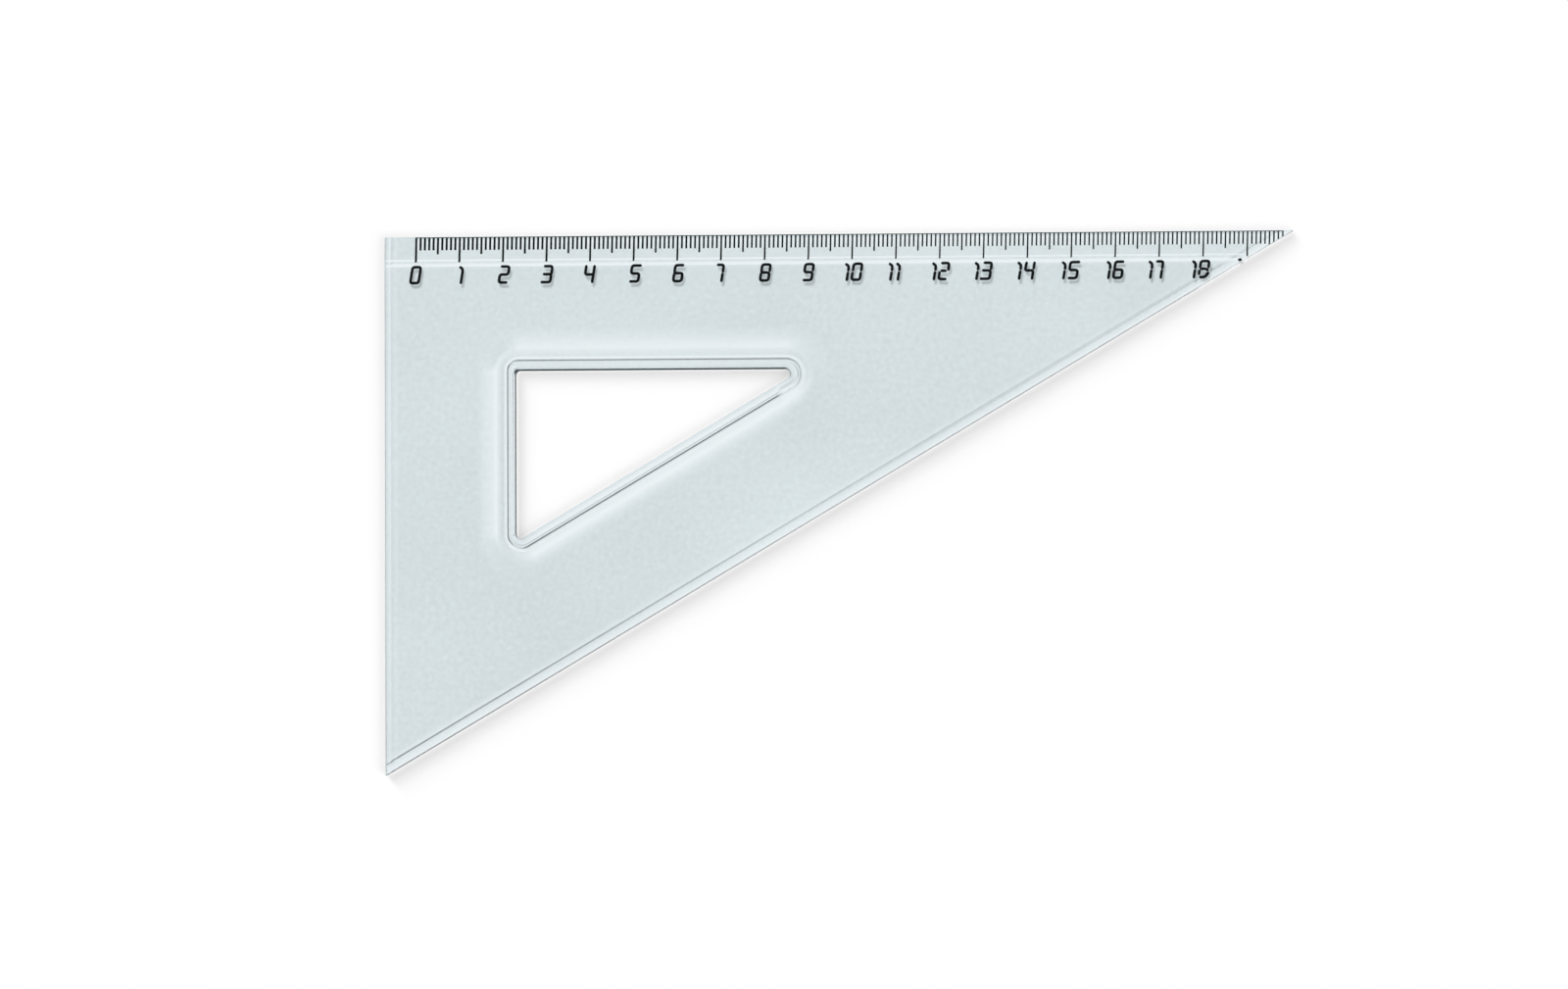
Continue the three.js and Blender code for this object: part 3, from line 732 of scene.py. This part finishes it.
    # points past the slanting edge are drawn back to it, less the margin
    place = addNode(tree, "GeometryNodeInputPosition")
    split = addNode(tree, "ShaderNodeSeparateXYZ")
    link(tree, place.outputs["Position"], split.inputs["Vector"])
    beside = mathNode(tree, "SUBTRACT", given["Tip X"], split.outputs["X"])
    fall = mathNode(tree, "MULTIPLY", beside, math.tan(smallAngle))
    lift = mathNode(tree, "DIVIDE", given["Margin"], math.cos(smallAngle))
    lowest = mathNode(tree, "ADD", mathNode(tree, "SUBTRACT", given["Edge Y"], fall), lift)
    clipped = addNode(tree, "ShaderNodeCombineXYZ")
    link(tree, split.outputs["X"], clipped.inputs["X"])
    link(tree, mathNode(tree, "MAXIMUM", split.outputs["Y"], lowest), clipped.inputs["Y"])
    clipped.inputs["Z"].default_value = drape["above"]
    trim = addNode(tree, "GeometryNodeSetPosition")
    link(tree, joined.outputs["Geometry"], trim.inputs["Geometry"])
    link(tree, clipped.outputs["Vector"], trim.inputs["Position"])
    # drape: each point falls on to the plate
    below = addNode(tree, "GeometryNodeObjectInfo")
    link(tree, given["Plate"], below.inputs["Object"])
    ray = addNode(tree, "GeometryNodeRaycast")
    ray.inputs["Ray Direction"].default_value = (0, 0, -1)
    ray.inputs["Ray Length"].default_value = 2 * drape["above"]
    link(tree, below.outputs["Geometry"], ray.inputs["Target Geometry"])
    gap = addNode(tree, "ShaderNodeCombineXYZ")
    link(tree, given["Clearance"], gap.inputs["Z"])
    draped = addNode(tree, "GeometryNodeSetPosition")
    link(tree, trim.outputs["Geometry"], draped.inputs["Geometry"])
    link(tree, ray.outputs["Hit Position"], draped.inputs["Position"])
    link(tree, gap.outputs["Vector"], draped.inputs["Offset"])
    # thicken: the draped sheet is raised, and a copy turned over closes its underside
    raised = addNode(tree, "GeometryNodeExtrudeMesh", mode="FACES")
    raised.inputs["Individual"].default_value = False
    up = addNode(tree, "ShaderNodeCombineXYZ")
    up.inputs["Z"].default_value = 1
    link(tree, draped.outputs["Geometry"], raised.inputs["Mesh"])
    link(tree, up.outputs["Vector"], raised.inputs["Offset"])
    link(tree, given["Thickness"], raised.inputs["Offset Scale"])
    under = addNode(tree, "GeometryNodeFlipFaces")
    link(tree, draped.outputs["Geometry"], under.inputs["Mesh"])
    closed = addNode(tree, "GeometryNodeJoinGeometry")
    link(tree, raised.outputs["Mesh"], closed.inputs["Geometry"])
    link(tree, under.outputs["Mesh"], closed.inputs["Geometry"])
    whole = addNode(tree, "GeometryNodeRealizeInstances")
    link(tree, closed.outputs["Geometry"], whole.inputs["Geometry"])
    inked = addNode(tree, "GeometryNodeSetMaterial")
    link(tree, whole.outputs["Geometry"], inked.inputs["Geometry"])
    link(tree, given["Ink"], inked.inputs["Material"])
    out = addNode(tree, "NodeGroupOutput")
    link(tree, inked.outputs["Geometry"], out.inputs["Geometry"])
    return tree


def makeMarks(plate, ink):
    size = printSize
    values = {
        "Count": size["lastMark"] + 1,
        "Spacing": size["millimetre"],
        "Start X": cornerX + size["zeroMark"],
        "Start Y": cornerY - size["margin"],
        "Mark Width": size["markWidth"],
        "Bold Width": size["boldWidth"],
        "Bold Count": float(size["boldCount"]),
        "Baseline Width": size["baselineWidth"],
        "Short Length": size["shortLength"],
        "Middle Length": size["middleLength"],
        "Long Length": size["longLength"],
        "Tip X": cornerX + longLeg,
        "Edge Y": cornerY,
        "Margin": size["margin"],
        "Clearance": size["inkClearance"],
        "Thickness": size["inkThickness"],
        "Plate": plate,
        "Ink": ink,
    }
    tree = makeMarksTree()
    holder = bpy.data.objects.new("marksHolder", bpy.data.meshes.new("marksHolder"))
    bpy.context.scene.collection.objects.link(holder)
    modifier = holder.modifiers.new("scaleMarks", "NODES")
    modifier.node_group = tree
    for item in tree.interface.items_tree:
        if item.in_out == "INPUT":
            modifier[item.identifier] = values[item.name]
    depsgraph = bpy.context.evaluated_depsgraph_get()
    mesh = bpy.data.meshes.new_from_object(holder.evaluated_get(depsgraph), depsgraph=depsgraph)
    bpy.data.objects.remove(holder)
    mesh.name = "scaleMarks"
    shell = bmesh.new()
    shell.from_mesh(mesh)
    bmesh.ops.remove_doubles(shell, verts=shell.verts, dist=hair)
    shell.to_mesh(mesh)
    shell.free()
    marks = bpy.data.objects.new("scaleMarks", mesh)
    bpy.context.scene.collection.objects.link(marks)
    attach(marks, "root")
    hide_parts("scale_marks")
    print("marks made:", len(mesh.polygons), "faces")


# The last numeral's fragment, a dot of ink on the slanting side's ledge. Its place is measured in from
# the short and the long side, and its turn is in degrees.
hookSize = {
    "fromShort": 195.62 * mm,
    "fromLong": 6.48 * mm,
    "width": 0.85 * mm,
    "height": 0.6 * mm,
    "corner": 0.2,  # the share of each side that a corner cuts off
    "turn": 12,
}


def makeHook(ink):
    size = hookSize
    far, near = 0.5, 0.5 - size["corner"]
    middle = Vector((cornerX + size["fromShort"], cornerY - size["fromLong"]))
    turn = Matrix.Rotation(math.radians(size["turn"]), 2)
    ring = []
    for x, y in ((-far, -near), (-near, -far), (near, -far), (far, -near)):
        ring.append(middle + turn @ Vector((x * size["width"], y * size["height"])))
    ring += [2 * middle - place for place in ring]
    low = plateSize["ledgeThickness"] + printSize["inkClearance"]
    high = low + printSize["inkThickness"]
    count = len(ring)
    points = [(x, y, low) for x, y in ring] + [(x, y, high) for x, y in ring]
    faces = [tuple(reversed(range(count))), tuple(range(count, 2 * count))]
    for i in range(count):
        after = (i + 1) % count
        faces.append((i, after, after + count, i + count))
    mesh = bpy.data.meshes.new("numeral19Hook")
    mesh.from_pydata(points, [], faces)
    mesh.materials.append(ink)
    hook = bpy.data.objects.new("numeral19Hook", mesh)
    bpy.context.scene.collection.objects.link(hook)
    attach(hook, "root")
    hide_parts("numeral_19_hook")
    print("hook made:", len(mesh.polygons), "faces")


# Stage

def makeFloor():
    look = {"half": 3.0, "drop": 0.15 * mm, "colour": (0.985, 0.985, 0.985, 1)}
    bpy.ops.mesh.primitive_plane_add(size=2 * look["half"], location=(0, 0, -look["drop"]))
    floor = bpy.context.object
    floor.name = "paleFloor"
    material = makeMaterial("paleFloor")
    diffuse = addNode(material.node_tree, "ShaderNodeBsdfDiffuse")
    diffuse.inputs["Color"].default_value = look["colour"]
    floor.data.materials.append(finishMaterial(material, diffuse.outputs["BSDF"]))


# A soft key from the long edge's side, a fill in two parts, a weak kicker across from them, and a
# dim room that is seen as white walls under a dim ceiling. Sizes and tilts are in degrees, and the
# walls and the ceiling are pairs of height, from nought level to one overhead, and brightness.
lightLook = {
    "key": {"energy": 1.76, "size": 11, "north": 21, "east": 0},
    "fill": {"energy": 0.95, "size": 45, "north": 40.5, "east": -45.8},
    "lowFill": {"energy": 1.2, "size": 24, "north": 47.4, "east": -65.9},
    "kicker": {"energy": 0.8, "size": 40, "north": -24.5, "east": 59},
    "room": 0.12,
    "walls": (0.6, 1.0),
    "ceiling": (0.9, 0.15),
}


def makeLights():
    for name in ("key", "fill", "lowFill", "kicker"):
        look = lightLook[name]
        sun = bpy.data.lights.new(name, "SUN")
        sun.energy = look["energy"]
        sun.angle = math.radians(look["size"])
        lamp = bpy.data.objects.new(name, sun)
        lamp.rotation_euler = (math.radians(-look["north"]), math.radians(look["east"]), 0)
        lamp.visible_glossy = False
        lamp.visible_transmission = False
        bpy.context.scene.collection.objects.link(lamp)
    world = bpy.data.worlds.new("studio")
    bpy.context.scene.world = world
    world.use_nodes = True
    tree = world.node_tree
    tree.nodes.clear()
    path = addNode(tree, "ShaderNodeLightPath")
    seen = path.outputs["Is Camera Ray"]
    for kind in ("Is Glossy Ray", "Is Transmission Ray"):
        seen = mathNode(tree, "MAXIMUM", seen, path.outputs[kind])
    direction = addNode(tree, "ShaderNodeTexCoord")
    height = addNode(tree, "ShaderNodeSeparateXYZ")
    link(tree, direction.outputs["Generated"], height.inputs["Vector"])
    shell = mapRange(tree, height.outputs["Z"], lightLook["walls"], lightLook["ceiling"])
    strength = addNode(tree, "ShaderNodeMix", data_type="FLOAT")
    strength.inputs["A"].default_value = lightLook["room"]
    link(tree, seen, strength.inputs["Factor"])
    link(tree, shell, strength.inputs["B"])
    sky = addNode(tree, "ShaderNodeBackground")
    link(tree, strength.outputs["Result"], sky.inputs["Strength"])
    sky.inputs["Color"].default_value = (1, 1, 1, 1)
    output = addNode(tree, "ShaderNodeOutputWorld")
    link(tree, sky.outputs["Background"], output.inputs["Surface"])


def inkNumerals(ink):  # the frame's own meshes, but for the fragment that makeHook draws
    for name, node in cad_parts.items():
        if name.startswith("numeral") and name != "numeral_19_hook":
            node.data.materials.clear()
            node.data.materials.append(ink)
    print("numerals inked")


# Camera: a long lens far above the plate, a little to its right. Turns are in degrees about the
# photograph's own axes, X right, Y down and Z away, and the shift is from the right angle's corner.
cameraLook = {
    "turnX": -0.93,
    "turnY": 13.82,
    "turnZ": -0.35,
    "cornerX": -89.2 * mm,
    "cornerY": -57.28 * mm,
    "distance": 7184 * mm,
    "lens": 740.4,
    "sensor": 36,
    "farthest": 50,
}


def makeCamera():
    look = cameraLook
    turn = (
        Matrix.Rotation(math.radians(look["turnZ"]), 3, "Z")
        @ Matrix.Rotation(math.radians(look["turnY"]), 3, "Y")
        @ Matrix.Rotation(math.radians(look["turnX"]), 3, "X")
    )
    flip = Matrix.Diagonal((1, -1, -1))
    toCamera = flip @ turn @ flip
    corner = Vector((-cadBox[0][0], cadBox[1][1], plateSize["thickness"]))
    shift = Vector((look["cornerX"], look["cornerY"], look["distance"]))
    offset = flip @ (turn @ corner + shift)
    world = toCamera.transposed().to_4x4()
    world.translation = -(toCamera.transposed() @ offset)
    lens = bpy.data.cameras.new("camera")
    lens.lens = look["lens"]
    lens.sensor_width = look["sensor"]
    lens.clip_end = look["farthest"]
    camera = bpy.data.objects.new("camera", lens)
    camera.matrix_world = world
    bpy.context.scene.collection.objects.link(camera)
    bpy.context.scene.camera = camera


makeCamera()
print("camera placed")
makeLights()
makeFloor()
print("stage set")
mottle = makeMottleGroup()
clearPlastic = makeClearPlastic(mottle)
blackInk = makeInk("blackInk", mottle, passing=0.55)
fineInk = makeInk("fineInk", mottle, passing=1)
plate = makePlate(clearPlastic)
makeMarks(plate, fineInk)
makeHook(blackInk)
inkNumerals(blackInk)
bpy.context.scene.view_settings.view_transform = "Standard"
